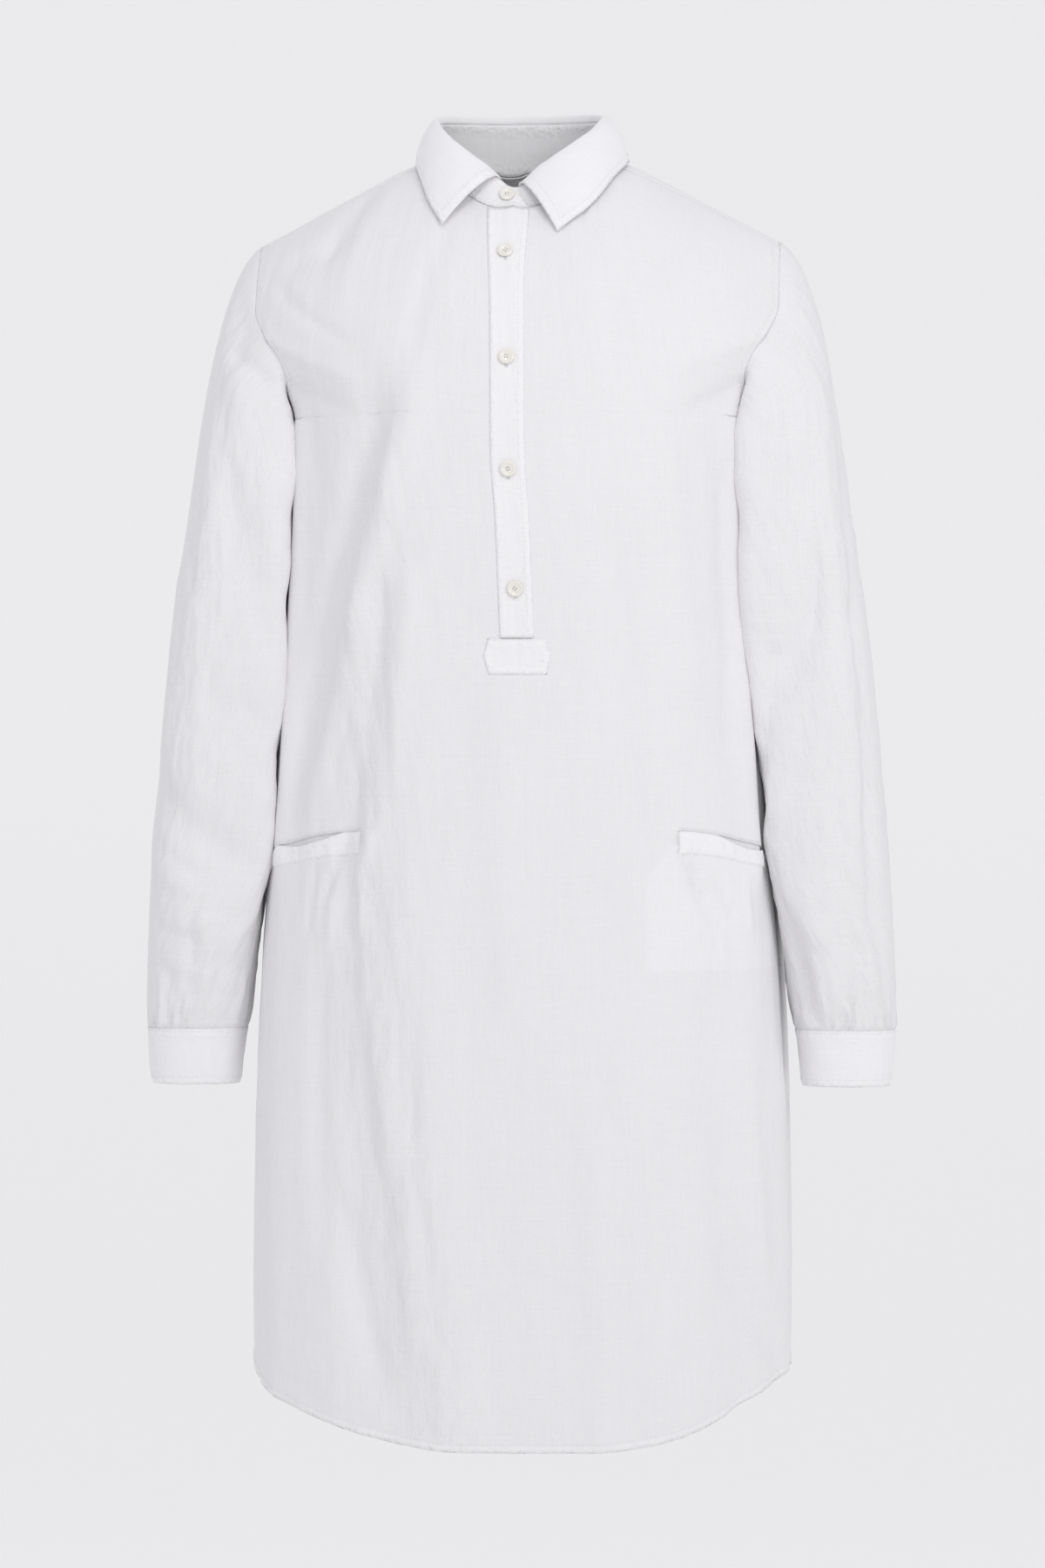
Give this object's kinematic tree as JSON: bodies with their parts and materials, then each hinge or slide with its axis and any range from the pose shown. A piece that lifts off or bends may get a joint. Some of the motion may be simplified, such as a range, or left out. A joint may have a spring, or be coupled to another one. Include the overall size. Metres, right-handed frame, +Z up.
{
  "type": "long linen popover shirt",
  "caption": "Long white linen popover shirt with a soft turned-down collar, buttoned half placket, side-slit pockets and a rounded shirt-tail hem, filled out as if worn.",
  "frame": {"origin": "midway between the shoulders, level with the neck seam at the sides and in the plane of the side seams", "axes": "+Z up, -Y out of the front, +X towards the viewer's right"},
  "size_m": [0.558, 0.2716, 0.9892],
  "materials": {
    "linen": "matte",
    "button_shell": "gloss"
  },
  "bodies": {
    "root": {"front": "linen", "back": "linen", "yoke": "linen", "sleeve_left": "linen", "sleeve_right": "linen", "cuff_left": "linen", "cuff_right": "linen", "collar_stand": "linen", "collar_leaf": "linen", "placket_top": "linen", "placket_under": "linen", "placket_tab": "linen", "pocket_welt_left": "linen", "pocket_welt_right": "linen", "pocket_bag_left": "linen", "pocket_bag_right": "linen", "button_1": "button_shell", "button_2": "button_shell", "button_3": "button_shell", "button_4": "button_shell", "button_5": "button_shell", "button_cuff_left": "button_shell", "button_cuff_right": "button_shell"}
  },
  "joints": []
}
